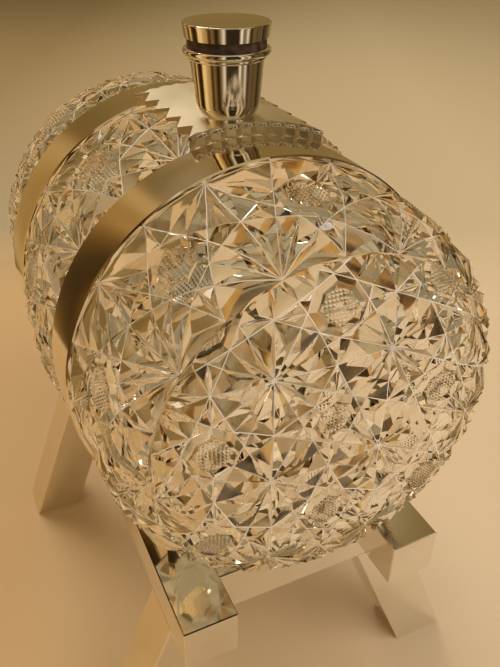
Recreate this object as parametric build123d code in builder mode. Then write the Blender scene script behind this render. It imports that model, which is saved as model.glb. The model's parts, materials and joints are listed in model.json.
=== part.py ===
from build123d import *
import os
from math import asin, atan2, cos, hypot, pi, radians, sin, sqrt, tan

os.makedirs("parts", exist_ok=True)

# Glass barrel: its length, and how far its glass stands from the hoops' outer face
barrel_length = 206.0
belly_rise = 3.6
belly_edge_drop = 0.4
chime_drop = 0.3
end_taper = 3.0
end_crown = 2.0
shoulder_round = 30.0
glass_wall = 7.0
axis_height = 169.0

# Silver hoops, let into the glass: their radius carries the barrel, its neck, tap and stand
hoop_radius = 70.0
hoop_thickness = 1.5
hoop_width = 21.0
hoop_spacing = 76.0
hoop_edge_break = 0.5

# Cutting of the glass: stars joined by mitres, a raised panel in the middle of each cell
cells_around = 10
star_depth = 2.2
mitre_depth = 1.6
panel_edge_depth = 1.3
panel_depth = 0.4
ridge_depth = 0.1
hoop_side_depth = 0.25
panel_far_share = 0.2236
panel_near_share = 0.0926
half_share = 0.5

# On the ends the cells lie in a square lattice, inside a ring mitre on the shoulder
star_pitch = 37.0
end_cells = 5
ring_run = 23.75
ring_depth = 2.0
ring_width = 0.4
front_panel_left = 5.0
front_panel_rise = 11.5

# Glass neck and its silver, stacked up from the saddle plate to the rim
neck_offset = 16.8
neck_root_radius = 8.2
neck_root_depth = 5.2
neck_lip_radius = 10.9
rim_thickness = 1.0
mouth_radius = 8.6
throat_radius = 5.8
throat_flare = 19.6
ferrule_rise = 0.5
ferrule_height = 4.1
ferrule_head_radius = 10.4
ferrule_foot_radius = 9.0
ferrule_reach = 5.0
ferrule_swell_radius = 7.0
collar_length = 13.1
collar_foot_radius = 10.6
collar_head_radius = 11.7
small_bead_thickness = 1.3
small_bead_radius = 12.4
large_bead_thickness = 2.3
large_bead_radius = 13.9

# Saddle plate round the neck, its outer face plate_rise above the belly
plate_rise = 1.1
plate_left_angle = 13.7
plate_right_angle = 23.7
side_teeth = 5
side_tooth_depth = 4.3
side_root_share = 0.3
end_teeth = 9
end_tooth_depth = 1.4
end_root_share = 0.5

# Stopper: the cork's head shows as a ring between the rim and the cap
cork_ring = 2.8
cap_height = 4.4
cap_foot_radius = 13.2
cap_edge_radius = 13.9
cap_crown = 0.6
cap_edge_round = 0.5
cap_top_thickness = 1.0
cork_radius = 12.5
cork_length = 12.6
cork_clearance = 0.08
stud_radius = 1.5
stud_nut_radius = 3.0
stud_nut_height = 2.0
nut_sides = 6
stopper_washer_radius = 5.4
stopper_washer_thickness = 0.8

# Tap, its bore tap_lift above the bottom of the hoops
tap_lift = 34.0
tap_seat_depth = 3.5
tap_seat_radius = 12.6
tap_hole_radius = 6.4
shank_radius = 4.6
bush_length = 5.0
shank_inner_reach = 3.0
tap_bore_radius = 3.0
rose_radius = 12.0
rose_thickness = 1.8
rose_hub_radius = 7.4
rose_hub_length = 5.0
tap_collar_radius = 6.8
tap_collar_length = 2.4
tap_arm_radius = 5.2
plug_distance = 21.5
housing_top_radius = 8.4
housing_foot_radius = 7.6
housing_rise = 12.5
housing_fall = 12.0
housing_edge_break = 0.8
plug_top_radius = 5.4
plug_foot_radius = 4.4
plug_clearance = 0.05
plug_stem_radius = 3.2
plug_stem_length = 4.0
plug_tail_radius = 1.8
washer_gap = 0.1
tap_washer_radius = 6.0
tap_washer_thickness = 1.2
screw_radius = 3.8
screw_length = 3.6
screw_bevel = 1.4
socket_length = 6.0
socket_radius = 6.0
spout_radius = 5.2
spout_tip_radius = 4.7
spout_bore_radius = 3.6
spout_insert = 4.0
spout_run = 3.0
spout_bend_radius = 10.0
spout_drop = 13.0

# T key on the plug
key_hub_radius = 4.4
key_hub_height = 5.0
key_post_radius = 2.6
key_height = 17.0
key_bar_radius = 2.3
key_bar_waist = 1.5
key_half_length = 14.0
key_ball_radius = 3.0

# Stand, its rails rail_clearance below the bottom of the hoops
stand_shift = 8.0
rail_clearance = 1.4
rail_size = 20.0
rail_gap = 64.0
rail_overhang = 16.5
frame_spread = 173.0
leg_width = 22.0
leg_depth = 21.0
leg_splay = 21.8
edge_break = 0.4
chock_width = 13.0
chock_thickness = 8.5
chock_distance = 65.0
chock_inset = 0.6
seat_gap = 0.3

# Every cut runs past its piece by this much
overrun = 5.0
nearness = 0.01

hoop_inner_edge = hoop_spacing / 2 - hoop_width / 2
hoop_outer_edge = hoop_spacing / 2 + hoop_width / 2
hoop_seat_radius = hoop_radius - hoop_thickness
belly_edge_radius = hoop_radius - belly_edge_drop
belly_radius = belly_edge_radius + belly_rise
plate_radius = belly_radius + plate_rise
chime_radius = hoop_radius - chime_drop
shoulder_radius = chime_radius - end_taper
shoulder_place = barrel_length / 2 - end_crown

# Heights up the neck, above the barrel's axis
neck_root_height = belly_radius - neck_root_depth
ferrule_foot_height = plate_radius + ferrule_rise
collar_foot_height = ferrule_foot_height + ferrule_height
collar_head_height = collar_foot_height + collar_length
small_bead_height = collar_head_height + small_bead_thickness
rim_height = small_bead_height + large_bead_thickness
throat_height = rim_height - throat_flare
cork_end_height = rim_height - cork_length
cap_foot_height = rim_height + cork_ring
cap_edge_height = cap_foot_height + cap_height

# Places along the tap, from the barrel's middle
tap_seat = barrel_length / 2 - tap_seat_depth
plug_place = tap_seat + rose_thickness + plug_distance
spout_place = plug_place + housing_top_radius + socket_length + spout_run + spout_bend_radius
barrel_y = (barrel_length / 2 - spout_place - spout_radius) / 2
tap_height = axis_height - hoop_radius + tap_lift

# Half sections: along the barrel, through the neck, along the tap, through the plug
barrel_plane = Plane(origin=(0, barrel_y, axis_height), x_dir=(0, 1, 0), z_dir=(1, 0, 0))
barrel_axis = Axis((0, barrel_y, axis_height), (0, 1, 0))
neck_plane = Plane(origin=(0, barrel_y - neck_offset, axis_height), x_dir=(1, 0, 0), z_dir=(0, -1, 0))
neck_axis = Axis((0, barrel_y - neck_offset, axis_height), (0, 0, 1))
tap_plane = Plane(origin=(0, barrel_y, tap_height), x_dir=(0, 1, 0), z_dir=(1, 0, 0))
tap_axis = Axis((0, barrel_y, tap_height), (0, 1, 0))
plug_plane = Plane(origin=(0, barrel_y + plug_place, tap_height), x_dir=(1, 0, 0), z_dir=(0, -1, 0))
plug_axis = Axis((0, barrel_y + plug_place, tap_height), (0, 0, 1))
spout_plane = Plane(origin=(0, barrel_y + spout_place, tap_height), x_dir=(1, 0, 0), z_dir=(0, -1, 0))
spout_axis = Axis((0, barrel_y + spout_place, tap_height), (0, 0, 1))
barrel_centre = Location((0, barrel_y, 0))
neck_place = Location((0, barrel_y - neck_offset, 0))


def finish(piece, name):
    piece.part.label = name
    export_step(piece.part, f"parts/{name}.step")


def arc_radius(reach, rise):
    return (reach**2 + rise**2) / (2 * rise)


def glass_radius(distance):
    taper_share = (distance - hoop_outer_edge) / (shoulder_place - hoop_outer_edge)
    return chime_radius - end_taper * taper_share


def neck_outer_radius(height):
    rise_share = (height - neck_root_height) / (rim_height - rim_thickness - neck_root_height)
    return neck_root_radius + (neck_lip_radius - neck_root_radius) * rise_share


def bore_radius(height):
    flare_share = (height - throat_height) / (rim_height - throat_height)
    return throat_radius + (mouth_radius - throat_radius) * flare_share


def plug_radius(height):
    span = housing_rise + housing_fall
    return plug_foot_radius + (plug_top_radius - plug_foot_radius) * (height + housing_fall) / span


# Section of the barrel: swelling belly, slight taper, round shoulder, crowned end
def barrel_section(inset):
    with BuildSketch(barrel_plane) as section:
        with BuildLine():
            RadiusArc(
                (0, belly_radius - inset),
                (hoop_inner_edge, belly_edge_radius - inset),
                arc_radius(hoop_inner_edge, belly_radius - belly_edge_radius),
            )
            Polyline(
                (hoop_inner_edge, belly_edge_radius - inset),
                (hoop_outer_edge, chime_radius - inset),
                (shoulder_place - inset, shoulder_radius - inset),
            )
            RadiusArc(
                (shoulder_place - inset, shoulder_radius - inset),
                (barrel_length / 2 - inset, 0),
                arc_radius(shoulder_radius - inset, end_crown),
            )
            mirror(about=Plane.YZ)
            Line((inset - barrel_length / 2, 0), (barrel_length / 2 - inset, 0))
        make_face()
        shoulders = [v for v in section.vertices() if abs(abs(v.X) - shoulder_place + inset) < nearness]
        fillet(shoulders, radius=shoulder_round - inset)
    return section.sketch


with BuildPart() as barrel_envelope:
    revolve(barrel_section(0), axis=barrel_axis)

# The same section in figures, for the cutting that follows it
belly_arc = arc_radius(hoop_inner_edge, belly_radius - belly_edge_radius)
taper_lean = atan2(end_taper, shoulder_place - hoop_outer_edge)
shoulder_arcs = [e for e in barrel_section(0).edges() if e.geom_type == GeomType.CIRCLE]
shoulder_middle = min(shoulder_arcs, key=lambda arc: abs(arc.radius - shoulder_round)).arc_center
shoulder_distance = abs(shoulder_middle.Y - barrel_y)
shoulder_height = shoulder_middle.Z - axis_height
taper_run = (shoulder_distance + shoulder_round * sin(taper_lean) - hoop_outer_edge) / cos(taper_lean)
ring_turn = pi / 2 - ring_run / shoulder_round
strip_run = taper_run + (ring_turn - taper_lean) * shoulder_round


# Distance from the barrel's middle and radius, at a depth under the belly
def belly_skin(share, depth):
    turn = asin(hoop_inner_edge * (2 * share - 1) / belly_arc)
    return (belly_arc - depth) * sin(turn), belly_radius - belly_arc + (belly_arc - depth) * cos(turn)


# The same from the hoop's edge along the taper and over the shoulder, as far as the ring mitre
def shoulder_skin(share, depth):
    run = strip_run * share
    if run < taper_run:
        distance = max(run * cos(taper_lean) - depth * sin(taper_lean), 0)
        return hoop_outer_edge + distance, chime_radius - run * sin(taper_lean) - depth * cos(taper_lean)
    turn = taper_lean + (run - taper_run) / shoulder_round
    reach = shoulder_round - depth
    return shoulder_distance + reach * sin(turn), shoulder_height + reach * cos(turn)


# Distance of an end's surface from the barrel's middle: crown, shoulder, and a plain slope past the ring
def end_skin(radius):
    ring_reach = shoulder_round * cos(ring_turn)
    reach = radius - shoulder_height
    if reach < 0:
        return barrel_length / 2 - end_crown * (radius / shoulder_radius) ** 2
    if reach < ring_reach:
        return shoulder_distance + sqrt(shoulder_round**2 - reach**2)
    slope_drop = (reach - ring_reach) / tan(ring_turn)
    return shoulder_distance + max(shoulder_round * sin(ring_turn) - slope_drop, 0)


# A cell's facets as shares of its sides with their depths: each region rises to a ridge point
def cell_facets():
    facets = []
    for x in (-half_share, half_share):
        for y in (-half_share, half_share):
            star, upright, level = (x, y, star_depth), (x, 0, mitre_depth), (0, y, mitre_depth)
            outer = (2 * x * panel_far_share, 2 * y * panel_near_share, panel_edge_depth)
            inner = (2 * x * panel_near_share, 2 * y * panel_far_share, panel_edge_depth)
            for region in ((star, upright, outer), (star, outer, inner), (star, inner, level)):
                ridge = (sum(v[0] for v in region) / 3, sum(v[1] for v in region) / 3, ridge_depth)
                facets += [(region[i - 1], region[i], ridge) for i in range(3)]
            facets.append((outer, inner, (0, 0, panel_depth)))
    for end in (-1, 1):
        for flip in (False, True):
            low = (end * panel_far_share, -panel_near_share)
            high = (end * panel_far_share, panel_near_share)
            middle = (end * half_share, 0)
            if flip:
                low, high, middle = low[::-1], high[::-1], middle[::-1]
            low, high = (*low, panel_edge_depth), (*high, panel_edge_depth)
            facets += [(low, high, (*middle, mitre_depth)), (low, high, (0, 0, panel_depth))]
    return facets


def polygon_face(points):
    return Face(Wire.make_polygon(points, close=True))


# A ring of cells round the barrel, closed by a flat polygon at each side
def cut_ring(skin, side, near_depth, far_depth):
    def place(share, depth, step):
        distance, radius = skin(share, depth)
        turn = 2 * pi * step / cells_around
        return radius * sin(turn), barrel_y + side * distance, axis_height + radius * cos(turn)

    edge_depths = {-half_share: near_depth, half_share: far_depth}
    faces = []
    for step in range(cells_around):
        for facet in cell_facets():
            points = [(y + half_share, edge_depths.get(y, depth), step + x) for x, y, depth in facet]
            faces.append(polygon_face([place(*point) for point in points]))
    for y, depth in edge_depths.items():
        steps = [half_share * k for k in range(2 * cells_around)]
        faces.append(polygon_face([place(y + half_share, depth, step) for step in steps]))
    return Solid(Shell(faces))


# A square block of cells over one end, cut off along the ring mitre
def cut_end(side, panel_left, panel_rise):
    last = end_cells // 2
    span = range(-last, last + 1)

    def place(column, row, depth):
        x, z = column * star_pitch - panel_left, row * star_pitch + panel_rise
        return x, barrel_y + side * (end_skin(hypot(x, z)) - depth), axis_height + z

    faces = []
    for column in span:
        for row in span:
            for facet in cell_facets():
                faces.append(polygon_face([place(column + x, row + y, d) for x, y, d in facet]))
    back = barrel_y + side * (shoulder_distance - overrun)
    reach = end_cells / 2
    steps = [half_share * k - reach for k in range(2 * end_cells + 1)]
    rows = [(step, star_depth if k % 2 == 0 else mitre_depth) for k, step in enumerate(steps)]
    for limit in (-reach, reach):
        for points in (
            [place(limit, step, depth) for step, depth in rows],
            [place(step, limit, depth) for step, depth in rows],
        ):
            foot = [(x, back, z) for x, _, z in (points[-1], points[0])]
            faces.append(polygon_face(points + foot))
    corners = ((-reach, -reach), (reach, -reach), (reach, reach), (-reach, reach))
    places = [place(column, row, 0) for column, row in corners]
    faces.append(polygon_face([(x, back, z) for x, _, z in places]))
    with BuildPart() as end:
        add(Solid(Shell(faces)))
        with BuildSketch(Plane.XZ.offset(-barrel_y)):
            with Locations((0, axis_height)):
                RegularPolygon(ring_radius - ring_width, 2 * cells_around)
        extrude(amount=barrel_length, both=True, mode=Mode.INTERSECT)
    return end.part


ring_radius = shoulder_skin(1, ring_depth)[-1]

# Smooth glass that the neck and its ferrule stand on
with BuildPart() as neck_foot:
    with BuildSketch(Plane.XY.offset(axis_height).move(neck_place)):
        Circle(ferrule_head_radius)
    extrude(amount=belly_radius + overrun)
    add(barrel_envelope.part, mode=Mode.INTERSECT)

# The vessel: cut all over but for the bands under the hoops, hollow, open at the neck and the tap
with BuildPart() as glass_barrel:
    with BuildSketch(Plane.XZ.offset(-barrel_y)):
        with Locations((0, axis_height)):
            Circle(hoop_seat_radius)
    extrude(amount=hoop_outer_edge, both=True)
    add(cut_ring(belly_skin, 1, hoop_side_depth, hoop_side_depth))
    for side, panel_left, panel_rise in ((-1, front_panel_left, front_panel_rise), (1, 0, 0)):
        add(cut_ring(shoulder_skin, side, hoop_side_depth, ring_depth))
        add(cut_end(side, panel_left, panel_rise))
    add(neck_foot.part)
    revolve(barrel_section(glass_wall), axis=barrel_axis, mode=Mode.SUBTRACT)
    with BuildSketch(Plane.XY.offset(axis_height).move(neck_place)):
        Circle(throat_radius)
    extrude(amount=belly_radius + overrun, mode=Mode.SUBTRACT)
    with BuildSketch(tap_plane):
        with Locations((tap_seat + overrun / 2, tap_seat_radius / 2)):
            Rectangle(overrun, tap_seat_radius)
        with Locations((tap_seat, tap_hole_radius / 2)):
            Rectangle(2 * glass_wall + 2 * overrun, tap_hole_radius)
    revolve(axis=tap_axis, mode=Mode.SUBTRACT)
finish(glass_barrel, "glass_barrel")

# Glass neck, standing on the vessel's belly: its bore flares for the cork
with BuildPart() as glass_neck:
    with BuildSketch(neck_plane):
        with BuildLine():
            Polyline(
                (0, neck_root_height - overrun),
                (neck_outer_radius(neck_root_height - overrun), neck_root_height - overrun),
                (neck_lip_radius, rim_height - rim_thickness),
                (0, rim_height - rim_thickness),
                close=True,
            )
        make_face()
    revolve(axis=neck_axis)
    add(barrel_envelope.part, mode=Mode.SUBTRACT)
    with BuildSketch(neck_plane):
        with BuildLine():
            Polyline(
                (0, neck_root_height - overrun),
                (throat_radius, neck_root_height - overrun),
                (throat_radius, throat_height),
                (bore_radius(rim_height + overrun), rim_height + overrun),
                (0, rim_height + overrun),
                close=True,
            )
        make_face()
    revolve(axis=neck_axis, mode=Mode.SUBTRACT)
finish(glass_neck, "glass_neck")

for side, name in ((-1, "hoop_front"), (1, "hoop_rear")):
    with BuildPart() as hoop:
        with BuildSketch(barrel_plane) as band:
            with Locations((side * hoop_spacing / 2, hoop_radius - hoop_thickness / 2)):
                Rectangle(hoop_width, hoop_thickness)
            chamfer(band.vertices().group_by(Axis.Y)[-1], length=hoop_edge_break)
        revolve(axis=barrel_axis)
    finish(hoop, name)


# Points along one edge of the saddle plate, teeth pointing out and gaps cut in
def toothed_edge(start, end, teeth, depth, root_share):
    start, end = Vector(*start), Vector(*end)
    inward = (end - start).normalized().rotate(Axis.Z, 90) * depth
    points = []
    for tooth in range(teeth):
        tip = start + (end - start) * tooth / teeth
        points += [tip, tip + (end - start) * root_share / teeth + inward]
    return points


plate_left = -plate_radius * sin(radians(plate_left_angle))
plate_right = plate_radius * sin(radians(plate_right_angle))
front_left = (plate_left, -hoop_inner_edge)
front_right = (plate_right, -hoop_inner_edge)
rear_right = (plate_right, hoop_inner_edge)
rear_left = (plate_left, hoop_inner_edge)
plate_outline = toothed_edge(front_left, front_right, end_teeth, end_tooth_depth, end_root_share)
plate_outline += toothed_edge(front_right, rear_right, side_teeth, side_tooth_depth, 1 - side_root_share)
plate_outline += toothed_edge(rear_right, rear_left, end_teeth, end_tooth_depth, end_root_share)
plate_outline += toothed_edge(rear_left, front_left, side_teeth, side_tooth_depth, side_root_share)

with BuildPart() as saddle_plate:
    with BuildSketch(Plane.XY.offset(axis_height).move(barrel_centre)):
        with BuildLine():
            Polyline(*plate_outline, close=True)
        make_face()
    extrude(amount=plate_radius + overrun)
    with BuildSketch(barrel_plane):
        with Locations((0, plate_radius / 2)):
            Rectangle(2 * hoop_spacing, plate_radius)
    revolve(axis=barrel_axis, mode=Mode.INTERSECT)
    add(barrel_envelope.part, mode=Mode.SUBTRACT)
    with BuildSketch(Plane.XY.offset(axis_height).move(neck_place)):
        Circle(ferrule_foot_radius)
    extrude(amount=plate_radius + overrun, mode=Mode.SUBTRACT)
finish(saddle_plate, "saddle_plate")

# Cup that the neck stands in, passing through the saddle plate down to the glass
with BuildPart() as neck_ferrule:
    with BuildSketch(neck_plane):
        with BuildLine():
            foot_height = plate_radius - ferrule_reach
            Polyline(
                (ferrule_foot_radius, ferrule_foot_height),
                (ferrule_foot_radius, foot_height),
                (neck_outer_radius(foot_height), foot_height),
                (neck_outer_radius(collar_foot_height), collar_foot_height),
                (ferrule_head_radius, collar_foot_height),
            )
            RadiusArc(
                (ferrule_head_radius, collar_foot_height),
                (ferrule_foot_radius, ferrule_foot_height),
                ferrule_swell_radius,
            )
        make_face()
    revolve(axis=neck_axis)
    add(barrel_envelope.part, mode=Mode.SUBTRACT)
finish(neck_ferrule, "neck_ferrule")

# Tapered collar over the glass neck, a small and a large bead at its mouth
small_bead_root = small_bead_radius - small_bead_thickness / 2
large_bead_root = large_bead_radius - large_bead_thickness / 2
glass_lip_height = rim_height - rim_thickness
with BuildPart() as neck_collar:
    with BuildSketch(neck_plane):
        with BuildLine():
            Polyline(
                (large_bead_root, rim_height),
                (mouth_radius, rim_height),
                (bore_radius(glass_lip_height), glass_lip_height),
                (neck_lip_radius, glass_lip_height),
                (neck_outer_radius(collar_foot_height), collar_foot_height),
                (collar_foot_radius, collar_foot_height),
                (collar_head_radius, collar_head_height),
                (small_bead_root, collar_head_height),
            )
            ThreePointArc(
                (small_bead_root, collar_head_height),
                (small_bead_radius, (collar_head_height + small_bead_height) / 2),
                (small_bead_root, small_bead_height),
            )
            Line((small_bead_root, small_bead_height), (large_bead_root, small_bead_height))
            ThreePointArc(
                (large_bead_root, small_bead_height),
                (large_bead_radius, (small_bead_height + rim_height) / 2),
                (large_bead_root, rim_height),
            )
        make_face()
    revolve(axis=neck_axis)
finish(neck_collar, "neck_collar")

cap_ceiling = cap_edge_height - cap_top_thickness
with BuildPart() as stopper_cap:
    with BuildSketch(neck_plane) as cap_section:
        with BuildLine():
            RadiusArc(
                (0, cap_edge_height + cap_crown), (cap_edge_radius, cap_edge_height),
                arc_radius(cap_edge_radius, cap_crown),
            )
            Polyline(
                (cap_edge_radius, cap_edge_height),
                (cap_foot_radius, cap_foot_height),
                (cork_radius, cap_foot_height),
                (cork_radius, cap_ceiling),
                (0, cap_ceiling),
                (0, cap_edge_height + cap_crown),
            )
        make_face()
        fillet(cap_section.vertices().sort_by(Axis.X)[-1], radius=cap_edge_round)
    revolve(axis=neck_axis)
finish(stopper_cap, "stopper_cap")

# Cork: a head that sits on the collar's rim and a tapered shank in the bore
with BuildPart() as stopper_cork:
    with BuildSketch(neck_plane):
        with BuildLine():
            Polyline(
                (stud_radius, cork_end_height),
                (bore_radius(cork_end_height) - cork_clearance, cork_end_height),
                (bore_radius(rim_height) - cork_clearance, rim_height),
                (cork_radius, rim_height),
                (cork_radius, cap_ceiling),
                (stud_radius, cap_ceiling),
                close=True,
            )
        make_face()
    revolve(axis=neck_axis)
finish(stopper_cork, "stopper_cork")

washer_foot = cork_end_height - stopper_washer_thickness
with BuildPart() as stopper_washer:
    with BuildSketch(Plane.XY.offset(axis_height + washer_foot).move(neck_place)):
        Circle(stopper_washer_radius)
        Circle(stud_radius, mode=Mode.SUBTRACT)
    extrude(amount=stopper_washer_thickness)
finish(stopper_washer, "stopper_washer")

with BuildPart() as stopper_stud:
    with BuildSketch(Plane.XY.offset(axis_height + washer_foot - stud_nut_height).move(neck_place)):
        RegularPolygon(stud_nut_radius, nut_sides)
    extrude(amount=stud_nut_height)
    with BuildSketch(Plane.XY.offset(axis_height + washer_foot - stud_nut_height).move(neck_place)):
        Circle(stud_radius)
    extrude(amount=cap_ceiling - washer_foot + stud_nut_height)
finish(stopper_stud, "stopper_stud")

# Tap: rose on the ground flat, cork bush in the glass, body with its plug housing
hub_end = tap_seat + rose_hub_length
with BuildPart() as tap_rose:
    with BuildSketch(tap_plane):
        with BuildLine():
            Polyline(
                (tap_seat + rose_thickness / 2, rose_radius),
                (tap_seat, rose_radius),
                (tap_seat, shank_radius),
                (hub_end, shank_radius),
                (hub_end, rose_hub_radius),
                (tap_seat + rose_thickness, rose_hub_radius + rose_thickness),
                (tap_seat + rose_thickness, rose_radius - rose_thickness / 2),
                close=True,
            )
        make_face()
    revolve(axis=tap_axis)
finish(tap_rose, "tap_rose")

with BuildPart() as tap_bush:
    with BuildSketch(tap_plane):
        with Locations((tap_seat - bush_length / 2, (tap_hole_radius + shank_radius) / 2)):
            Rectangle(bush_length, tap_hole_radius - shank_radius)
    revolve(axis=tap_axis)
finish(tap_bush, "tap_bush")

collar_end = hub_end + tap_collar_length
socket_end = plug_place + housing_top_radius + socket_length
with BuildPart() as tap_body:
    with BuildSketch(tap_plane):
        with BuildLine():
            Polyline(
                (tap_seat - bush_length - shank_inner_reach, 0),
                (tap_seat - bush_length - shank_inner_reach, shank_radius),
                (hub_end, shank_radius),
                (hub_end, tap_collar_radius),
                (collar_end, tap_collar_radius),
                (collar_end, tap_arm_radius),
                (plug_place, tap_arm_radius),
                (plug_place, socket_radius),
                (socket_end, socket_radius),
                (socket_end, 0),
                close=True,
            )
        make_face()
    revolve(axis=tap_axis)
    with BuildSketch(plug_plane) as housing:
        with BuildLine():
            Polyline(
                (0, -housing_fall),
                (housing_foot_radius, -housing_fall),
                (housing_top_radius, housing_rise),
                (0, housing_rise),
                close=True,
            )
        make_face()
        chamfer(housing.vertices().group_by(Axis.X)[-2:], length=housing_edge_break)
    revolve(axis=plug_axis)
    with BuildSketch(tap_plane):
        with Locations((plug_place, tap_bore_radius / 2)):
            Rectangle(2 * plug_place, tap_bore_radius)
        with Locations((socket_end, spout_radius / 2)):
            Rectangle(2 * spout_insert, spout_radius)
    revolve(axis=tap_axis, mode=Mode.SUBTRACT)
    with BuildSketch(plug_plane):
        with BuildLine():
            Polyline(
                (0, -housing_fall - overrun),
                (plug_radius(-housing_fall - overrun), -housing_fall - overrun),
                (plug_radius(housing_rise + overrun), housing_rise + overrun),
                (0, housing_rise + overrun),
                close=True,
            )
        make_face()
    revolve(axis=plug_axis, mode=Mode.SUBTRACT)
finish(tap_body, "tap_body")

# Nozzle: pressed into the socket, bent down a quarter turn, tapered to its tip
bend_place = socket_end + spout_run
with BuildPart() as tap_spout:
    with BuildLine(tap_plane) as route:
        Line((socket_end - spout_insert, 0), (bend_place, 0))
        RadiusArc((bend_place, 0), (spout_place, -spout_bend_radius), spout_bend_radius)
    with BuildSketch(Plane(origin=route.line @ 0, z_dir=(0, 1, 0))):
        Circle(spout_radius)
        Circle(spout_bore_radius, mode=Mode.SUBTRACT)
    sweep(path=route.line)
    with BuildSketch(spout_plane):
        with BuildLine():
            Polyline(
                (spout_bore_radius, -spout_bend_radius),
                (spout_radius, -spout_bend_radius),
                (spout_tip_radius, -spout_bend_radius - spout_drop),
                (spout_bore_radius, -spout_bend_radius - spout_drop),
                close=True,
            )
        make_face()
    revolve(axis=spout_axis)
finish(tap_spout, "tap_spout")

# Ground plug: its cross port lies square to the bore while the tap is shut
plug_top = housing_rise + washer_gap
plug_foot = -housing_fall - washer_gap
screw_foot = plug_foot - tap_washer_thickness - screw_length
with BuildPart() as tap_plug:
    with BuildSketch(plug_plane):
        with BuildLine():
            Polyline(
                (0, screw_foot + screw_bevel),
                (plug_tail_radius, screw_foot + screw_bevel),
                (plug_tail_radius, plug_foot),
                (plug_radius(plug_foot) - plug_clearance, plug_foot),
                (plug_radius(plug_top) - plug_clearance, plug_top),
                (plug_stem_radius, plug_top),
                (plug_stem_radius, plug_top + plug_stem_length),
                (0, plug_top + plug_stem_length),
                close=True,
            )
        make_face()
    revolve(axis=plug_axis)
    with BuildSketch(Plane.YZ.move(Location((0, barrel_y + plug_place, tap_height)))):
        Circle(tap_bore_radius)
    extrude(amount=housing_top_radius, both=True, mode=Mode.SUBTRACT)
finish(tap_plug, "tap_plug")

with BuildPart() as tap_washer:
    with BuildSketch(plug_plane):
        with Locations((
            (tap_washer_radius + plug_tail_radius) / 2,
            plug_foot - tap_washer_thickness / 2,
        )):
            Rectangle(tap_washer_radius - plug_tail_radius, tap_washer_thickness)
    revolve(axis=plug_axis)
finish(tap_washer, "tap_washer")

with BuildPart() as tap_screw:
    with BuildSketch(plug_plane) as screw_section:
        with BuildLine():
            Polyline(
                (0, screw_foot),
                (screw_radius, screw_foot),
                (screw_radius, plug_foot - tap_washer_thickness),
                (plug_tail_radius, plug_foot - tap_washer_thickness),
                (plug_tail_radius, screw_foot + screw_bevel),
                (0, screw_foot + screw_bevel),
                close=True,
            )
        make_face()
        rim = screw_section.vertices().group_by(Axis.Y)[0].sort_by(Axis.X)[-1]
        chamfer(rim, length=screw_bevel)
    revolve(axis=plug_axis)
finish(tap_screw, "tap_screw")

# T key: hub over the plug's stem, waisted post, turned bar with a ball at each end
bar_height = plug_top + key_height
with BuildPart() as tap_key:
    with BuildSketch(plug_plane):
        with BuildLine():
            Polyline(
                (0, plug_top + plug_stem_length),
                (plug_stem_radius, plug_top + plug_stem_length),
                (plug_stem_radius, plug_top),
                (key_hub_radius, plug_top),
                (key_hub_radius, plug_top + key_hub_height),
                (key_post_radius, plug_top + key_hub_height + key_hub_radius - key_post_radius),
            )
            RadiusArc(
                (key_post_radius, plug_top + key_hub_height + key_hub_radius - key_post_radius),
                (key_post_radius, bar_height),
                -key_height,
            )
            Polyline((key_post_radius, bar_height), (0, bar_height), (0, plug_top + plug_stem_length))
        make_face()
    revolve(axis=plug_axis)
    with BuildSketch(plug_plane):
        with BuildLine():
            ThreePointArc(
                (0, bar_height + key_bar_radius),
                (key_half_length / 2, bar_height + key_bar_waist),
                (key_half_length, bar_height + key_bar_radius),
            )
            Line((key_half_length, bar_height + key_bar_radius), (key_half_length, bar_height))
            mirror(about=Plane.YZ)
            Line((-key_half_length, bar_height), (key_half_length, bar_height))
        make_face()
    revolve(axis=Axis((0, barrel_y + plug_place, tap_height + bar_height), (1, 0, 0)))
    for side in (-1, 1):
        with Locations((side * key_half_length, barrel_y + plug_place, tap_height + bar_height)):
            Sphere(key_ball_radius)
finish(tap_key, "tap_key")

# Stand: two rails and two beams of square bar, four splayed legs, four chocks for the glass
stand_y = barrel_y + stand_shift
rail_top = axis_height - hoop_radius - rail_clearance
rail_foot = rail_top - rail_size
rail_length = frame_spread + 2 * rail_overhang
rail_middle = (rail_gap + rail_size) / 2
sides = ((-1, "left"), (1, "right"))
ends = ((-1, "front"), (1, "rear"))

for side, hand in sides:
    with BuildPart() as rail:
        with BuildSketch(Plane.XZ.offset(-stand_y - rail_length / 2)):
            with Locations((side * rail_middle, rail_top - rail_size / 2)):
                Rectangle(rail_size, rail_size)
        extrude(amount=rail_length)
        chamfer(rail.edges(), length=edge_break)
    finish(rail, f"rail_{hand}")

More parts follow.
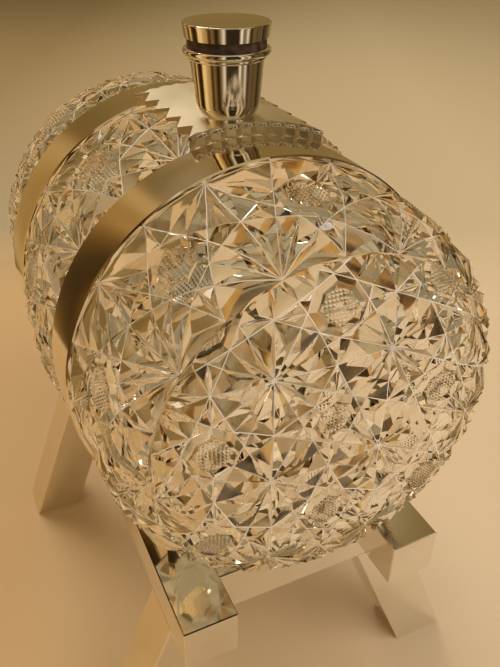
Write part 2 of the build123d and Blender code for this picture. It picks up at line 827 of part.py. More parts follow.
leg_run = rail_foot * tan(radians(leg_splay))
leg_breadth = leg_width / cos(radians(leg_splay))
rail_outside = rail_gap / 2 + rail_size
for end, place in ends:
    frame_y = stand_y + end * (frame_spread - leg_depth) / 2
    frame_plane = Plane.XZ.offset(-frame_y)
    with BuildPart() as beam:
        with BuildSketch(frame_plane):
            with Locations((0, rail_top - rail_size / 2)):
                Rectangle(rail_gap, rail_size)
        extrude(amount=leg_depth / 2, both=True)
        chamfer(beam.edges().filter_by(Axis.X), length=edge_break)
    finish(beam, f"beam_{place}")

    for side, hand in sides:
        with BuildPart() as leg:
            with BuildSketch(frame_plane):
                with BuildLine():
                    Polyline(
                        (side * rail_outside, rail_foot),
                        (side * (rail_outside + leg_run), 0),
                        (side * (rail_outside + leg_run - leg_breadth), 0),
                        (side * (rail_outside - leg_breadth), rail_foot),
                        close=True,
                    )
                make_face()
            extrude(amount=leg_depth / 2, both=True)
            long_edges = leg.edges().filter_by(GeomType.LINE).sort_by(Edge.length)[-4:]
            chamfer(long_edges, length=edge_break)
        finish(leg, f"leg_{place}_{hand}")

        with BuildPart() as chock:
            chock_x = side * (rail_gap / 2 + chock_inset + chock_width / 2)
            chock_y = barrel_y + end * chock_distance
            with BuildSketch(Plane.XZ.offset(-chock_y)):
                with Locations((chock_x, (rail_top + axis_height) / 2)):
                    Rectangle(chock_width, axis_height - rail_top)
            extrude(amount=chock_thickness / 2, both=True)
            near, far = chock_distance - chock_thickness, chock_distance + chock_thickness
            with BuildSketch(barrel_plane):
                with BuildLine():
                    Polyline(
                        (end * near, 0),
                        (end * near, glass_radius(near) + seat_gap),
                        (end * far, glass_radius(far) + seat_gap),
                        (end * far, 0),
                        close=True,
                    )
                make_face()
            revolve(axis=barrel_axis, mode=Mode.SUBTRACT)
        finish(chock, f"chock_{place}_{hand}")

print("origin: barrel centre at y", round(barrel_y, 3))
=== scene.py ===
import json
import math

import bmesh
import bpy
from mathutils import Matrix, Vector


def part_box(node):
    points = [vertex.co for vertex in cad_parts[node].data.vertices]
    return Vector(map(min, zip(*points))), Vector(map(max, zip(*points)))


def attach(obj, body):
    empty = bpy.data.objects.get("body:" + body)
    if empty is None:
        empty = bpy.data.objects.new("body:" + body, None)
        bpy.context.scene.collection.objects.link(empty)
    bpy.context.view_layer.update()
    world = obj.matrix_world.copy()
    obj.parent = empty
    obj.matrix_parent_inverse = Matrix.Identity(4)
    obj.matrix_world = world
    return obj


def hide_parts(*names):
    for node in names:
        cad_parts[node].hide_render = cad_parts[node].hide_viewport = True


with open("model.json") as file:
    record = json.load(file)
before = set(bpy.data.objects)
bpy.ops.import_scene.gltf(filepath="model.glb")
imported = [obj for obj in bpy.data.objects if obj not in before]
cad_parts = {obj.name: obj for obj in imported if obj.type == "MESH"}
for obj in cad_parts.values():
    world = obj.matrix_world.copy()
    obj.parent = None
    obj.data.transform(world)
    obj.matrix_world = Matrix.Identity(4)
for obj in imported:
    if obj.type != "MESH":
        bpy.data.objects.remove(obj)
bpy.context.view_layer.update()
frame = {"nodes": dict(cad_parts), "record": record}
nodes = frame["nodes"]
print("frame loaded:", len(nodes), "nodes")

hoopLow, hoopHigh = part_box("hoop_front")
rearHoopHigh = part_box("hoop_rear")[1]
barrelCentre = (hoopLow + rearHoopHigh) / 2
hoopOuter = barrelCentre.y - hoopLow.y    # hoop edges, measured along the barrel from its middle
hoopInner = barrelCentre.y - hoopHigh.y
roseLow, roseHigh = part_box("tap_rose")
tapHeight = (roseLow.z + roseHigh.z) / 2
neckLow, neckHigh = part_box("glass_neck")
neckCentre = (neckLow + neckHigh) / 2


# materials

def newMaterial(name):
    material = bpy.data.materials.new(name)
    material.use_nodes = True
    tree = material.node_tree
    return material, tree.nodes, tree.links, tree.nodes["Principled BSDF"]


def noiseOn(shaderNodes, links, scale, detail, stretch=(1, 1, 1)):
    coords = shaderNodes.new("ShaderNodeTexCoord")
    mapping = shaderNodes.new("ShaderNodeMapping")
    mapping.inputs["Scale"].default_value = stretch
    noise = shaderNodes.new("ShaderNodeTexNoise")
    noise.inputs["Scale"].default_value = scale
    noise.inputs["Detail"].default_value = detail
    links.new(coords.outputs["Object"], mapping.inputs["Vector"])
    links.new(mapping.outputs["Vector"], noise.inputs["Vector"])
    return noise.outputs["Fac"]


def rangeOf(shaderNodes, links, source, low, high, lowest=0.35, highest=0.65):
    ramp = shaderNodes.new("ShaderNodeMapRange")
    ramp.inputs["From Min"].default_value = lowest
    ramp.inputs["From Max"].default_value = highest
    ramp.inputs["To Min"].default_value = low
    ramp.inputs["To Max"].default_value = high
    links.new(source, ramp.inputs["Value"])
    return ramp.outputs["Result"]


def attributeRange(shaderNodes, links, name, low, high):    # low where the mesh's attribute is 0
    attribute = shaderNodes.new("ShaderNodeAttribute")
    attribute.attribute_name = name
    return rangeOf(shaderNodes, links, attribute.outputs["Fac"], low, high, 0, 1)


def mixColors(shaderNodes, links, amount, first, second, blend="MIX"):
    mix = shaderNodes.new("ShaderNodeMix")
    mix.data_type = "RGBA"
    mix.blend_type = blend
    for name, color in (("A", first), ("B", second)):
        if isinstance(color, tuple):
            mix.inputs[name].default_value = color
        else:
            links.new(color, mix.inputs[name])
    links.new(amount, mix.inputs["Factor"])
    return mix.outputs["Result"]


def bumpOn(shaderNodes, links, shader, height, strength, depth):
    bump = shaderNodes.new("ShaderNodeBump")
    bump.inputs["Strength"].default_value = strength
    bump.inputs["Distance"].default_value = depth
    links.new(height, bump.inputs["Height"])
    links.new(bump.outputs["Normal"], shader.inputs["Normal"])


silverFinish = dict(color=(0.90, 0.88, 0.83, 1), tarnish=(0.74, 0.66, 0.50, 1), tarnishShare=0.35,
                    tarnishRange=(0.5, 0.8), roughLow=0.035, roughHigh=0.13, smudgeScale=38,
                    smudgeDetail=4, hairScale=900, hairDetail=2, hairStrength=0.035, hairDepth=0.0002)
# the hoops' golden tint on silver is a painted warm reflection; their tarnish patches are real tarnish
hoopFinishAndPaintedSheen = dict(silverFinish, color=(0.91, 0.82, 0.66, 1), tarnish=(0.74, 0.60, 0.38, 1),
                  roughHigh=0.11)
# the saddle plate's golden tint on silver is a painted reflection of the warm background; its tarnish
# patches are real tarnish
saddleFinishAndPaintedSheen = dict(silverFinish, color=(0.92, 0.84, 0.66, 1), tarnish=(0.66, 0.50, 0.30, 1),
                    roughLow=0.3, roughHigh=0.42)
brassFinish = dict(silverFinish, color=(0.83, 0.74, 0.52, 1), tarnish=(0.55, 0.42, 0.24, 1),
                   roughLow=0.12, roughHigh=0.3)


def makeSilver(name, finish, stretch=(1, 1, 1)):
    material, shaderNodes, links, shader = newMaterial(name)
    shader.inputs["Metallic"].default_value = 1
    smudge = noiseOn(shaderNodes, links, finish["smudgeScale"], finish["smudgeDetail"])
    hair = noiseOn(shaderNodes, links, finish["hairScale"], finish["hairDetail"], stretch)
    rough = rangeOf(shaderNodes, links, smudge, finish["roughLow"], finish["roughHigh"])
    links.new(rough, shader.inputs["Roughness"])
    amount = rangeOf(shaderNodes, links, smudge, 0, finish["tarnishShare"], *finish["tarnishRange"])
    color = mixColors(shaderNodes, links, amount, finish["color"], finish["tarnish"])
    links.new(color, shader.inputs["Base Color"])
    bumpOn(shaderNodes, links, shader, hair, finish["hairStrength"], finish["hairDepth"])
    return material


glassFinish = dict(color=(0.995, 0.988, 0.97, 1), ior=1.545, clear=0.04, ground=0.18, wheelScale=700,
                   wheelDetail=2, wheelStretch=(1, 0.2, 1), wheelStrength=0.02, wheelDepth=0.0001,
                   mitreClear=0.1, deepest=2.5, deepColor=(0.99, 0.975, 0.95, 1))


def makeGlass(name, finish, isCut=False):
    material, shaderNodes, links, shader = newMaterial(name)
    shader.inputs["Base Color"].default_value = finish["color"]
    shader.inputs["Transmission Weight"].default_value = 1
    shader.inputs["IOR"].default_value = finish["ior"]
    shader.inputs["Roughness"].default_value = finish["clear"]
    if isCut:    # hatching and groove bottoms are ground, and the groove bottoms are also made milky white, a painted highlight, so they catch the light
        rough = attributeRange(shaderNodes, links, "ground", finish["clear"], finish["ground"])
        links.new(rough, shader.inputs["Roughness"])
        clear = attributeRange(shaderNodes, links, "mitre", 1, finish["mitreClear"])
        links.new(clear, shader.inputs["Transmission Weight"])
    wheel = noiseOn(shaderNodes, links, finish["wheelScale"], finish["wheelDetail"],
                    finish["wheelStretch"])
    bumpOn(shaderNodes, links, shader, wheel, finish["wheelStrength"], finish["wheelDepth"])
    path = shaderNodes.new("ShaderNodeLightPath")    # light goes straight on after many facets
    late = shaderNodes.new("ShaderNodeMath")
    late.operation = "GREATER_THAN"
    late.inputs[1].default_value = finish["deepest"]
    straight = shaderNodes.new("ShaderNodeBsdfTransparent")
    straight.inputs["Color"].default_value = finish["deepColor"]
    mix = shaderNodes.new("ShaderNodeMixShader")
    links.new(path.outputs["Ray Depth"], late.inputs[0])
    links.new(late.outputs["Value"], mix.inputs["Fac"])
    links.new(shader.outputs["BSDF"], mix.inputs[1])
    links.new(straight.outputs["BSDF"], mix.inputs[2])
    links.new(mix.outputs["Shader"], shaderNodes["Material Output"].inputs["Surface"])
    return material


corkFinish = dict(dark=(0.018, 0.011, 0.008, 1), light=(0.085, 0.045, 0.026, 1), grainScale=420,
                  grainDetail=6, roughLow=0.55, roughHigh=0.85, poreStrength=0.5, poreDepth=0.0004)


def makeCork(name, finish):
    material, shaderNodes, links, shader = newMaterial(name)
    grain = noiseOn(shaderNodes, links, finish["grainScale"], finish["grainDetail"])
    amount = rangeOf(shaderNodes, links, grain, 0, 1)
    color = mixColors(shaderNodes, links, amount, finish["dark"], finish["light"])
    links.new(color, shader.inputs["Base Color"])
    rough = rangeOf(shaderNodes, links, grain, finish["roughLow"], finish["roughHigh"])
    links.new(rough, shader.inputs["Roughness"])
    bumpOn(shaderNodes, links, shader, grain, finish["poreStrength"], finish["poreDepth"])
    return material


silver = makeSilver("polishedSilver", silverFinish)
saddleSilver = makeSilver("saddleSilver", saddleFinishAndPaintedSheen)
hoopSilver = makeSilver("hoopSilver", hoopFinishAndPaintedSheen)
barSilver = makeSilver("barSilver", silverFinish, (1, 0.05, 1))    # rubbed along the bars
glass = makeGlass("cutGlass", glassFinish, True)
clearGlass = makeGlass("clearGlass", glassFinish)
cork = makeCork("darkCork", corkFinish)
brass = makeSilver("silveredBrass", brassFinish)

slotMaterials = {"cut_glass": clearGlass, "polished_silver": silver, "silvered_brass": brass,
                 "dark_cork": cork}
ownMaterials = {"hoop": hoopSilver, "saddle": saddleSilver, "rail": barSilver, "beam": barSilver,
                "leg": barSilver, "chock": barSilver}    # by the first word of a node's name
for row in frame["record"]["subparts"]:
    node = nodes[row["node"]]
    firstWord = row["node"].split("_")[0]
    node.data.materials.clear()
    node.data.materials.append(ownMaterials.get(firstWord, slotMaterials[row["material_slot"]]))
print("materials ready")


# the barrel's form, walked from the middle of an end along its surface

form = dict(halfLength=0.103, endFlat=0.03825, shoulder=0.030, crown=0.002, bellyRadius=0.0732,
            bellyEdge=0.0696, chimeRadius=0.0697, wall=0.007, taper=0.003, cavitySteps=10,
            cavitySides=96)
shoulderTurn = math.pi / 2 - math.atan(form["taper"] / (form["halfLength"] - form["crown"] - hoopOuter))
shoulderEnd = form["endFlat"] + form["shoulder"] * shoulderTurn
shoulderAlong = form["halfLength"] - form["shoulder"] + form["shoulder"] * math.cos(shoulderTurn)
surfaceLength = shoulderEnd + (shoulderAlong - hoopOuter) / math.sin(shoulderTurn)
bellyRise = form["bellyRadius"] - form["bellyEdge"]
bellyArc = (hoopInner ** 2 + bellyRise ** 2) / (2 * bellyRise)


def endForm(walk):    # place along, radius, and the two parts of the outward direction
    if walk < form["endFlat"]:
        return form["halfLength"], walk, 1.0, 0.0
    if walk < shoulderEnd:
        turn = (walk - form["endFlat"]) / form["shoulder"]
        along = form["halfLength"] - form["shoulder"] * (1 - math.cos(turn))
        radius = form["endFlat"] + form["shoulder"] * math.sin(turn)
        return along, radius, math.cos(turn), math.sin(turn)
    rest = walk - shoulderEnd
    away, out = math.cos(shoulderTurn), math.sin(shoulderTurn)
    radius = form["endFlat"] + form["shoulder"] * out
    return shoulderAlong - rest * out, radius + rest * away, away, out


def bellyForm(along):    # the same four, for the belly between the hoops
    radius = form["bellyRadius"] - bellyArc + math.sqrt(bellyArc ** 2 - along ** 2)
    lean = along / bellyArc
    return along, radius, lean, math.sqrt(1 - lean ** 2)


def placeOn(side, around, shape, depth):    # depth goes into the glass
    along, radius, normalAlong, normalOut = shape
    along -= normalAlong * depth
    radius -= normalOut * depth
    return Vector((radius * math.sin(around), barrelCentre.y + side * along,
                   barrelCentre.z + radius * math.cos(around)))


# one cell of the cut pattern: a star in each corner, a hatched panel in the middle

# mitreRings and mitreEnds are the strength of the painted highlight along the mitre lines
cut = dict(starDepth=0.0030, crossDepth=0.0021, panelEdgeDepth=0.0018, peakDepth=0.0002,
           panelShare=0.25, cornerShare=0.7, slackShare=0.01, rimShare=0.055, rimDepth=0.0004,
           borderShare=0.035, floorDepth=0.0009, hatchDepth=0.0013, hatchPeak=0.0004, hatchLines=9,
           mitreWidth=0.00018, mitreGround=1, mitreRoom=0.0009, mitreRings=0.45, mitreEnds=0.6,
           sharpAngle=16)
tiny = 1e-6
cellWeld = 1e-4    # in cells of size 1, before they are laid on the barrel


def geometryOf(faces):
    edges, verts = {e for f in faces for e in f.edges}, {v for f in faces for v in f.verts}
    return [*faces, *edges, *verts]


def cutLine(bm, faces, point, direction):
    normal = Vector((-direction[1], direction[0], 0))
    bmesh.ops.bisect_plane(bm, geom=geometryOf(faces), plane_co=Vector((*point, 0)), plane_no=normal,
                           dist=tiny)


def furthest(face):    # from the middle of the cell
    return max(v.co.length for v in face.verts)


def sink(verts, depth, valley):    # to a place that no groove runs along
    for v in verts:
        v.co.z = -depth
        v[valley] = 0


def makeCell():
    bm = bmesh.new()
    valley = bm.verts.layers.float.new("valley")
    panelReach = cut["panelShare"] + cut["slackShare"]

    def panelOf():
        return [f for f in bm.faces if f.calc_center_median().xy.length < cut["slackShare"]]

    bmesh.ops.create_grid(bm, x_segments=1, y_segments=1, size=0.5)
    for x in (-0.5, 0.5):
        for y in (-0.5, 0.5):
            cutLine(bm, bm.faces[:], (x, y), (-2 * x, -y))
            cutLine(bm, bm.faces[:], (x, y), (-x, -2 * y))
    for direction in ((1, 1), (1, -1), (1, 0), (0, 1)):
        cutLine(bm, [f for f in bm.faces if furthest(f) > panelReach], (0, 0), direction)
    for v in bm.verts:
        away = v.co.length
        if away > cut["cornerShare"]:
            v.co.z = -cut["starDepth"]
        elif away < panelReach:
            v.co.z = -cut["panelEdgeDepth"]
        else:
            v.co.z = -cut["crossDepth"]
    panel = panelOf()
    poked = bmesh.ops.poke(bm, faces=[f for f in bm.faces if f not in panel])
    for v in bm.verts:
        v[valley] = 1
    sink(poked["verts"], cut["peakDepth"], valley)
    bmesh.ops.subdivide_edges(bm, edges=list({e for f in poked["faces"] for e in f.edges}), cuts=1,
                              use_grid_fill=True)
    ground = bm.faces.layers.float.new("ground")
    panel = panelOf()
    for share, depth in (("rimShare", "rimDepth"), ("borderShare", "floorDepth")):
        bmesh.ops.inset_individual(bm, faces=panel, thickness=cut[share])
        sink(panel[0].verts, cut[depth], valley)
    reach = furthest(panel[0])
    floor = panel
    for i in range(cut["hatchLines"]):
        offset = reach * (2 * (i + 1) / (cut["hatchLines"] + 1) - 1)
        for direction, point in (((1, 0), (0, offset)), ((0, 1), (offset, 0))):
            cutLine(bm, floor, point, direction)
            floor = [f for f in bm.faces if furthest(f) < reach + cellWeld]
    sink({v for f in floor for v in f.verts}, cut["hatchDepth"], valley)
    peaks = bmesh.ops.poke(bm, faces=floor)
    sink(peaks["verts"], cut["hatchPeak"], valley)
    for f in peaks["faces"]:
        f[ground] = 1
    bmesh.ops.triangulate(bm, faces=bm.faces[:])
    return bm


cellMesh = bpy.data.meshes.new("cutCell")
cellBm = makeCell()
cellBm.to_mesh(cellMesh)
cellBm.free()
print("one cut cell:", len(cellMesh.polygons), "faces")


def addCells(columns, rows, firstColumn=0, firstRow=0):
    bm = bmesh.new()
    for column in range(columns):
        for row in range(rows):
            start = len(bm.verts)
            bm.from_mesh(cellMesh)
            bm.verts.ensure_lookup_table()
            bmesh.ops.translate(bm, verts=bm.verts[start:],
                                vec=(firstColumn + column + 0.5, firstRow + row + 0.5, 0))
    bmesh.ops.remove_doubles(bm, verts=bm.verts, dist=cellWeld)
    return bm


# the outer skin: an end, a shoulder ring, a belly ring, a shoulder ring, an end

pattern = dict(cellsAround=10, ringWalk=0.062, ringGap=0.0008, ringDepth=0.0022, cellSize=0.037,
               discCells=5, discSides=40, frontShift=(-0.005, 0.0115), rearShift=(0, 0),
               startAngle=math.radians(18), edgeDepth=0.0012, edgeEase=0.35, hoopClearance=0.0001,
               bandRadius=0.0684, neckFlat=0.012, neckEase=0.008, hoopTolerance=0.0006,
               ringTolerance=0.003)


def aroundAt(column):
    return pattern["startAngle"] + 2 * math.pi * column / pattern["cellsAround"]


def easedDepth(depth, fromHoop):    # shallow at the hoops, so no gap opens under them
    return min(depth, pattern["edgeDepth"] + pattern["edgeEase"] * max(fromHoop, 0))


def neckEasing(place):    # from 0 at the neck, where the belly stays uncut, to 1
    if place.z < barrelCentre.z:
        return 1
    away = math.hypot(place.x - neckCentre.x, place.y - neckCentre.y)
    return min(max((away - pattern["neckFlat"]) / pattern["neckEase"], 0), 1)


def rimNear(bm, side, along, tolerance):
    place = barrelCentre.y + side * along
    return [e for e in bm.edges
            if e.is_boundary and all(abs(v.co.y - place) < tolerance for v in e.verts)]


def newVerts(made):
    return [g for g in made["geom"] if isinstance(g, bmesh.types.BMVert)]


def seatHoop(bm, side, along):    # the glass steps down to its band under the hoop
    edges = rimNear(bm, side, along, pattern["hoopTolerance"])
    for v in newVerts(bmesh.ops.extrude_edge_only(bm, edges=edges)):
        out = Vector((v.co.x, 0, v.co.z - barrelCentre.z)).normalized() * pattern["bandRadius"]
        v.co = Vector((out.x, barrelCentre.y + side * along, barrelCentre.z + out.z))


def cutMitres(bm, paintedHighlight):    # a narrow line at the bottom of each groove that has room for it, made milky white as a painted highlight
    bmesh.ops.remove_doubles(bm, verts=bm.verts, dist=tiny)
    valley = bm.verts.layers.float["valley"]
    ground = bm.faces.layers.float["ground"]
    mitre = bm.faces.layers.float.new("mitre")
    roomy = {v for v in bm.verts if v[valley] == 1
             and min(e.calc_length() for e in v.link_edges) >= cut["mitreRoom"]}
    grooves = [e for e in bm.edges if not e.is_boundary and all(v in roomy for v in e.verts)]
    made = bmesh.ops.bevel(bm, geom=grooves, offset=cut["mitreWidth"], offset_type="OFFSET", segments=1,
                           profile=0.5, affect="EDGES", material=-1, clamp_overlap=True)
    for f in made["faces"]:
        f[ground] = cut["mitreGround"]
        f[mitre] = paintedHighlight


def shoulderRing(side):
    bm = addCells(pattern["cellsAround"], 1)
    ringWidth = surfaceLength - pattern["hoopClearance"] - pattern["ringWalk"]
    for v in bm.verts:
        walk = pattern["ringWalk"] + ringWidth * v.co.y
        depth = easedDepth(-v.co.z, surfaceLength - walk)
        v.co = placeOn(side, aroundAt(v.co.x), endForm(walk), depth)
    cutMitres(bm, cut["mitreRings"])
    seatHoop(bm, side, hoopOuter + pattern["hoopClearance"])
    return bm


def bellyRing():
    bm = addCells(pattern["cellsAround"], 1)
    edge = hoopInner - pattern["hoopClearance"]
    for v in bm.verts:
        along, around = edge * (2 * v.co.y - 1), aroundAt(v.co.x)
        surface = placeOn(1, around, bellyForm(along), 0)
        depth = easedDepth(-v.co.z, edge - abs(along)) * neckEasing(surface)
        v.co = placeOn(1, around, bellyForm(along), depth)
    cutMitres(bm, cut["mitreRings"])
    for side in (-1, 1):
        seatHoop(bm, side, edge)
    return bm


def endDisc(side, shift):
    cells, sides = pattern["discCells"], pattern["discSides"]
    bm = addCells(cells, cells, -cells / 2, -cells / 2)
    for v in bm.verts:
        v.co.x = v.co.x * pattern["cellSize"] + shift[0]
        v.co.y = v.co.y * pattern["cellSize"] + shift[1]
    apothem = (pattern["ringWalk"] - pattern["ringGap"]) * math.cos(math.pi / sides)
    for k in range(sides):
        angle = 2 * math.pi * (k + 0.5) / sides
        outward = Vector((math.sin(angle), math.cos(angle), 0))
        bmesh.ops.bisect_plane(bm, geom=bm.faces[:] + bm.edges[:] + bm.verts[:], dist=tiny,
                               plane_co=outward * apothem, plane_no=outward, clear_outer=True)
    rim = {v for e in bm.edges if e.is_boundary for v in e.verts}
    for v in bm.verts:
        depth = pattern["ringDepth"] if v in rim else -v.co.z
        walk, around = math.hypot(v.co.x, v.co.y), math.atan2(v.co.x, v.co.y)
        v.co = placeOn(side, around, endForm(walk), depth)
    cutMitres(bm, cut["mitreEnds"])
    return bm


def bridge(bm, edges):
    bmesh.ops.bridge_loops(bm, edges=list(edges))


def joinMeshes(parts):    # and free them
    whole = bmesh.new()
    for part in parts:
        mesh = bpy.data.meshes.new("part")
        part.to_mesh(mesh)
        whole.from_mesh(mesh)
        part.free()
        bpy.data.meshes.remove(mesh)
    return whole


def makeVesselSkin():
    skin = joinMeshes([shoulderRing(-1), endDisc(-1, pattern["frontShift"]), bellyRing(),
                       shoulderRing(1), endDisc(1, pattern["rearShift"])])
    ringAlong = endForm(pattern["ringWalk"])[0]
    for side in (-1, 1):
        bridge(skin, rimNear(skin, side, ringAlong, pattern["ringTolerance"]))
        bridge(skin, {e for along in (hoopOuter, hoopInner)
                      for e in rimNear(skin, side, along, pattern["hoopTolerance"])})
    return skin


def makeCavity():
    inset = form["wall"]
    radius = form["shoulder"] - inset
    outline = [(form["halfLength"] - inset, 0)]
    for i in range(form["cavitySteps"] + 1):
        turn = (math.pi / 2) * i / form["cavitySteps"]
        outline.append((form["halfLength"] - form["shoulder"] + radius * math.cos(turn),
                        form["endFlat"] + radius * math.sin(turn)))
    outline.append((hoopOuter, form["chimeRadius"] - inset))
    outline += [(a, bellyForm(a)[1] - inset) for a in (hoopInner, hoopInner / 2, 0)]
    outline += [(-a, r) for a, r in reversed(outline[:-1])]
    bm = bmesh.new()
    verts = [bm.verts.new((0, barrelCentre.y + a, barrelCentre.z + r)) for a, r in outline]
    edges = [bm.edges.new(pair) for pair in zip(verts, verts[1:])]
    bmesh.ops.spin(bm, geom=verts + edges, cent=barrelCentre, axis=(0, 1, 0), angle=2 * math.pi,
                   steps=form["cavitySides"], use_merge=True)
    bmesh.ops.remove_doubles(bm, verts=bm.verts, dist=tiny)
    return bm


# the vessel: the skin and the cavity, joined at the neck's throat and at the tap's hole

opening = dict(throatRadius=0.0058, tapHoleRadius=0.0064, tapSeatRadius=0.0126, tapSeatDepth=0.0035,
               sides=32, height=0.03, faceReach=1.3, rimReach=1.1)
tapAxis = Vector((0, barrelCentre.y + form["halfLength"], tapHeight))
neckTop = Vector((neckCentre.x, neckCentre.y, barrelCentre.z + form["bellyRadius"]))


def cutRound(bm, place, axis, radius):    # a round hole through the faces within height of its place
    axis = Vector(axis)
    first = axis.orthogonal().normalized()
    second = axis.cross(first)
    turns = [2 * math.pi * k / opening["sides"] for k in range(opening["sides"])]
    outwards = [first * math.cos(t) + second * math.sin(t) for t in turns]
    apothem = radius * math.cos(math.pi / opening["sides"])

    def touches(co, reach):
        offset = co - place
        height = offset.dot(axis)
        return abs(height) < opening["height"] and (offset - axis * height).length < reach * radius

    for outward in outwards:
        faces = [f for f in bm.faces if any(touches(v.co, opening["faceReach"]) for v in f.verts)
                 or touches(f.calc_center_median(), opening["faceReach"])]
        bmesh.ops.bisect_plane(bm, geom=geometryOf(faces), dist=tiny,
                               plane_co=place + outward * apothem, plane_no=outward)
    inside = [f for f in bm.faces if touches(f.calc_center_median(), 1)
              and all((f.calc_center_median() - place).dot(o) < apothem for o in outwards)]
    bmesh.ops.delete(bm, geom=inside, context="FACES")
    return [e for e in bm.edges
            if e.is_boundary and all(touches(v.co, opening["rimReach"]) for v in e.verts)]


def makeVessel():
    skin = makeVesselSkin()
    seatPlace = tapAxis.y - opening["tapSeatDepth"]
    seat = cutRound(skin, tapAxis, (0, 1, 0), opening["tapSeatRadius"])
    wall = bmesh.ops.extrude_edge_only(skin, edges=seat)
    for v in newVerts(wall):
        v.co.y = seatPlace
    seat = [g for g in wall["geom"] if isinstance(g, bmesh.types.BMEdge) and g.is_boundary]
    facing = Matrix.Rotation(math.pi / 2, 4, "X")
    circle = bmesh.ops.create_circle(skin, segments=opening["sides"], radius=opening["tapHoleRadius"],
                                     matrix=Matrix.Translation((0, seatPlace, tapHeight)) @ facing)
    bridge(skin, seat + list({e for v in circle["verts"] for e in v.link_edges}))
    cutRound(skin, neckTop, (0, 0, 1), opening["throatRadius"])
    cavity = makeCavity()
    cutRound(cavity, tapAxis, (0, 1, 0), opening["tapHoleRadius"])
    cutRound(cavity, neckTop, (0, 0, 1), opening["throatRadius"])
    whole = joinMeshes([skin, cavity])
    loose = [e for e in whole.edges if e.is_boundary]
    bridge(whole, [e for e in loose if e.verts[0].co.y > barrelCentre.y])
    bridge(whole, [e for e in loose if e.verts[0].co.y < barrelCentre.y])
    bmesh.ops.recalc_face_normals(whole, faces=whole.faces)
    return whole


def newObject(name, bm, material, sharpAngle=0):
    mesh = bpy.data.meshes.new(name)
    bm.to_mesh(mesh)
    bm.free()
    mesh.materials.append(material)
    if sharpAngle:    # facets keep their edges, and what only bends gently is shaded smooth
        mesh.shade_smooth()
        mesh.set_sharp_from_angle(angle=math.radians(sharpAngle))
    piece = bpy.data.objects.new(name, mesh)
    bpy.context.scene.collection.objects.link(piece)
    return piece


vesselBm = makeVessel()
openEdges = sum(1 for e in vesselBm.edges if not e.is_manifold)
print("vessel faces", len(vesselBm.faces), "open edges", openEdges,
      "glass cm3", round(vesselBm.calc_volume() * 1e6, 1))
vessel = newObject("cutVessel", vesselBm, glass, cut["sharpAngle"])
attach(vessel, "barrel")
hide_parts("glass_barrel")
print("glass vessel ready")


# the crimped rim along the front and rear edges of the saddle plate

crimp = dict(left=-0.0176, right=0.02987, waves=9, radius=0.0743, inward=0.0019, outward=0.0005,
             dip=0.0012, thickness=0.00065, roundness=3, curveOrder=3, sharpAngle=40)


def crimpedRim(side):
    curve = bpy.data.curves.new("crimp", "CURVE")
    curve.dimensions = "3D"
    curve.bevel_depth = crimp["thickness"]
    curve.bevel_resolution = crimp["roundness"]
    curve.use_fill_caps = True
    line = curve.splines.new("NURBS")
    last = 2 * crimp["waves"]
    line.points.add(last)
    for i, point in enumerate(line.points):
        x = crimp["left"] + (crimp["right"] - crimp["left"]) * i / last
        height = math.sqrt(crimp["radius"] ** 2 - x ** 2) - crimp["thickness"]
        along = hoopInner + crimp["outward"]
        if i % 2:
            along, height = hoopInner - crimp["inward"], height - crimp["dip"]
        point.co = (x, barrelCentre.y + side * along, barrelCentre.z + height, 1)
    line.order_u = crimp["curveOrder"]
    line.use_endpoint_u = True
    holder = bpy.data.objects.new("crimp", curve)
    mesh = bpy.data.meshes.new_from_object(holder)
    bpy.data.objects.remove(holder)
    bm = bmesh.new()
    bm.from_mesh(mesh)
    bpy.data.meshes.remove(mesh)
    bmesh.ops.remove_doubles(bm, verts=bm.verts, dist=tiny)
    bmesh.ops.recalc_face_normals(bm, faces=bm.faces)
    return bm


for name, side in (("crimpFront", -1), ("crimpRear", 1)):
    rim = newObject(name, crimpedRim(side), silver, crimp["sharpAngle"])
    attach(rim, "barrel")
print("crimped rims ready")


# floor, light and camera

view = dict(place=(-0.0909, -0.2547, 0.3102), heading=25.15, pitch=33.64, roll=0.31, lens=37.65,
            sensor=36, nearest=0.01)
heading, pitch, roll = (math.radians(view[k]) for k in ("heading", "pitch", "roll"))


def turnedAxes(shaderNodes, links, output):    # x across and y away, along the photograph's heading
    coords = shaderNodes.new("ShaderNodeTexCoord")
    mapping = shaderNodes.new("ShaderNodeMapping")
    mapping.inputs["Rotation"].default_value = (0, 0, heading)
    axes = shaderNodes.new("ShaderNodeSeparateXYZ")
    links.new(coords.outputs[output], mapping.inputs["Vector"])
    links.new(mapping.outputs["Vector"], axes.inputs["Vector"])
    return axes.outputs


# the first near colour is painted warm light falling on the floor to the left
paper = dict(size=12, rough=0.6, near=((0.55, 0.35, 0.15, 1), (0.70, 0.55, 0.38, 1)),
             far=((0.28, 0.195, 0.085, 1), (0.60, 0.49, 0.32, 1)), nearAcross=(-0.10, 0.14),
             farAcross=(-0.4, 0.3), away=(0.26, 0.40), paintedWarmLightLeft=(-0.5, -0.26), paintedWarmLightFront=(-0.42, -0.10))


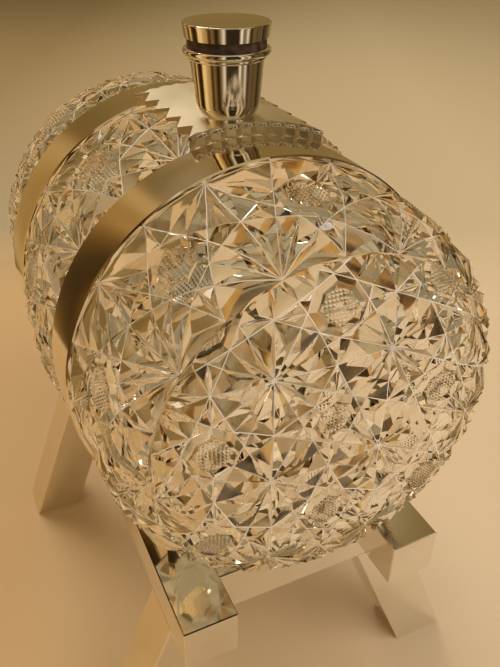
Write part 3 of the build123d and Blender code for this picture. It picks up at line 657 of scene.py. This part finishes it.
def makeFloor():    # pale paper with a painted pool of warm light to the left, and darker and tan behind the object
    bm = bmesh.new()
    bmesh.ops.create_grid(bm, x_segments=1, y_segments=1, size=paper["size"] / 2)
    material, shaderNodes, links, shader = newMaterial("paleFloor")
    axes = turnedAxes(shaderNodes, links, "Object")
    nearAcross = rangeOf(shaderNodes, links, axes["X"], 0, 1, *paper["nearAcross"])
    farAcross = rangeOf(shaderNodes, links, axes["X"], 0, 1, *paper["farAcross"])
    away = rangeOf(shaderNodes, links, axes["Y"], 0, 1, *paper["away"])
    for axis, reach in (("X", "paintedWarmLightLeft"), ("Y", "paintedWarmLightFront")):    # the painted warm light fades out again
        larger = shaderNodes.new("ShaderNodeMath")
        larger.operation = "MAXIMUM"
        links.new(nearAcross, larger.inputs[0])
        links.new(rangeOf(shaderNodes, links, axes[axis], 1, 0, *paper[reach]), larger.inputs[1])
        nearAcross = larger.outputs["Value"]
    near = mixColors(shaderNodes, links, nearAcross, *paper["near"])
    far = mixColors(shaderNodes, links, farAcross, *paper["far"])
    links.new(mixColors(shaderNodes, links, away, near, far), shader.inputs["Base Color"])
    shader.inputs["Roughness"].default_value = paper["rough"]
    newObject("floor", bm, material)


room = dict(low=(0.31, 0.23, 0.12, 1), high=(0.50, 0.39, 0.22, 1), rise=(0.42, 0.85), strength=0.9)


def makeWorld():
    world = bpy.data.worlds.new("studio")
    bpy.context.scene.world = world
    world.use_nodes = True
    shaderNodes, links = world.node_tree.nodes, world.node_tree.links
    background = shaderNodes["Background"]
    axes = turnedAxes(shaderNodes, links, "Generated")
    rise = rangeOf(shaderNodes, links, axes["Z"], 0, 1, *room["rise"])
    color = mixColors(shaderNodes, links, rise, room["low"], room["high"])
    links.new(color, background.inputs["Color"])
    background.inputs["Strength"].default_value = room["strength"]


card = dict(radius=0.38, height=0.75, sides=96, gapScale=6.5, gapDetail=1, gapStretch=(1, 1, 0),
            tones=((0.44, (0.03, 0.019, 0.009, 1)), (0.51, (0.17, 0.10, 0.035, 1)),
                   (0.55, (0.36, 0.25, 0.12, 1)), (0.62, (0.95, 0.86, 0.68, 1))),
            left=(0.85, 0.60, 0.28, 1), leftward=(-0.3, 0), back=(0.23, 0.145, 0.045, 1),
            backward=(0.12, 0.36))


def makeCard():    # dark card with light gaps round the set, seen in reflections alone
    bm = bmesh.new()
    bmesh.ops.create_cone(bm, segments=card["sides"], radius1=card["radius"], radius2=card["radius"],
                          depth=card["height"], cap_ends=False,
                          matrix=Matrix.Translation((0, 0, card["height"] / 2)))
    material, shaderNodes, links, shader = newMaterial("darkCard")
    axes = turnedAxes(shaderNodes, links, "Object")
    tones = shaderNodes.new("ShaderNodeValToRGB")
    elements = tones.color_ramp.elements
    for i, (position, color) in enumerate(card["tones"]):    # a new ramp has two elements already
        element = elements[i] if i < len(elements) else elements.new(position)
        element.position = position
        element.color = color
    gaps = noiseOn(shaderNodes, links, card["gapScale"], card["gapDetail"], card["gapStretch"])
    links.new(gaps, tones.inputs["Fac"])
    leftward = rangeOf(shaderNodes, links, axes["X"], 1, 0, *card["leftward"])
    backward = rangeOf(shaderNodes, links, axes["Y"], 0, 1, *card["backward"])
    color = mixColors(shaderNodes, links, leftward, tones.outputs["Color"], card["left"], "MULTIPLY")
    glow = shaderNodes.new("ShaderNodeEmission")
    links.new(mixColors(shaderNodes, links, backward, color, card["back"]), glow.inputs["Color"])
    links.new(glow.outputs["Emission"], shaderNodes["Material Output"].inputs["Surface"])
    ring = newObject("darkCard", bm, material)
    ring.visible_camera = ring.visible_diffuse = ring.visible_transmission = ring.visible_shadow = False


makeFloor()
makeWorld()
makeCard()

lamps = dict(
    key=dict(place=(-0.1, 1.15, 1.25), size=0.9, power=14.5, color=(1, 0.92, 0.78), seen=True),
    fill=dict(place=(0.5, -1.05, 0.95), size=1.4, power=14, color=(1, 0.965, 0.91), seen=False),
    side=dict(place=(-1.0, -0.1, 0.9), size=0.9, power=1.5, color=(1, 0.95, 0.87), seen=False),
)
for name, lamp in lamps.items():
    light = bpy.data.lights.new(name, "AREA")
    light.size = lamp["size"]
    light.energy = lamp["power"]
    light.color = lamp["color"]
    holder = bpy.data.objects.new(name, light)
    holder.location = lamp["place"]
    holder.visible_glossy = lamp["seen"]    # only the key shows in reflections
    holder.visible_transmission = False
    holder.rotation_mode = "QUATERNION"
    holder.rotation_quaternion = (barrelCentre - Vector(lamp["place"])).to_track_quat("-Z", "Y")
    bpy.context.scene.collection.objects.link(holder)

ahead = Vector((math.sin(heading) * math.cos(pitch), math.cos(heading) * math.cos(pitch),
                -math.sin(pitch)))
right = Vector((math.cos(heading), -math.sin(heading), 0))
up = right.cross(ahead)
right, up = (math.cos(roll) * right + math.sin(roll) * up,
             math.cos(roll) * up - math.sin(roll) * right)
camera = bpy.data.objects.new("camera", bpy.data.cameras.new("camera"))
camera.data.lens = view["lens"]
camera.data.sensor_width = view["sensor"]
camera.data.clip_start = view["nearest"]
turned = Matrix((right, up, -ahead)).transposed().to_4x4()
camera.matrix_world = Matrix.Translation(view["place"]) @ turned
bpy.context.scene.collection.objects.link(camera)
bpy.context.scene.camera = camera
bpy.context.scene.view_settings.view_transform = "Standard"
print("stage, lamps and camera ready")
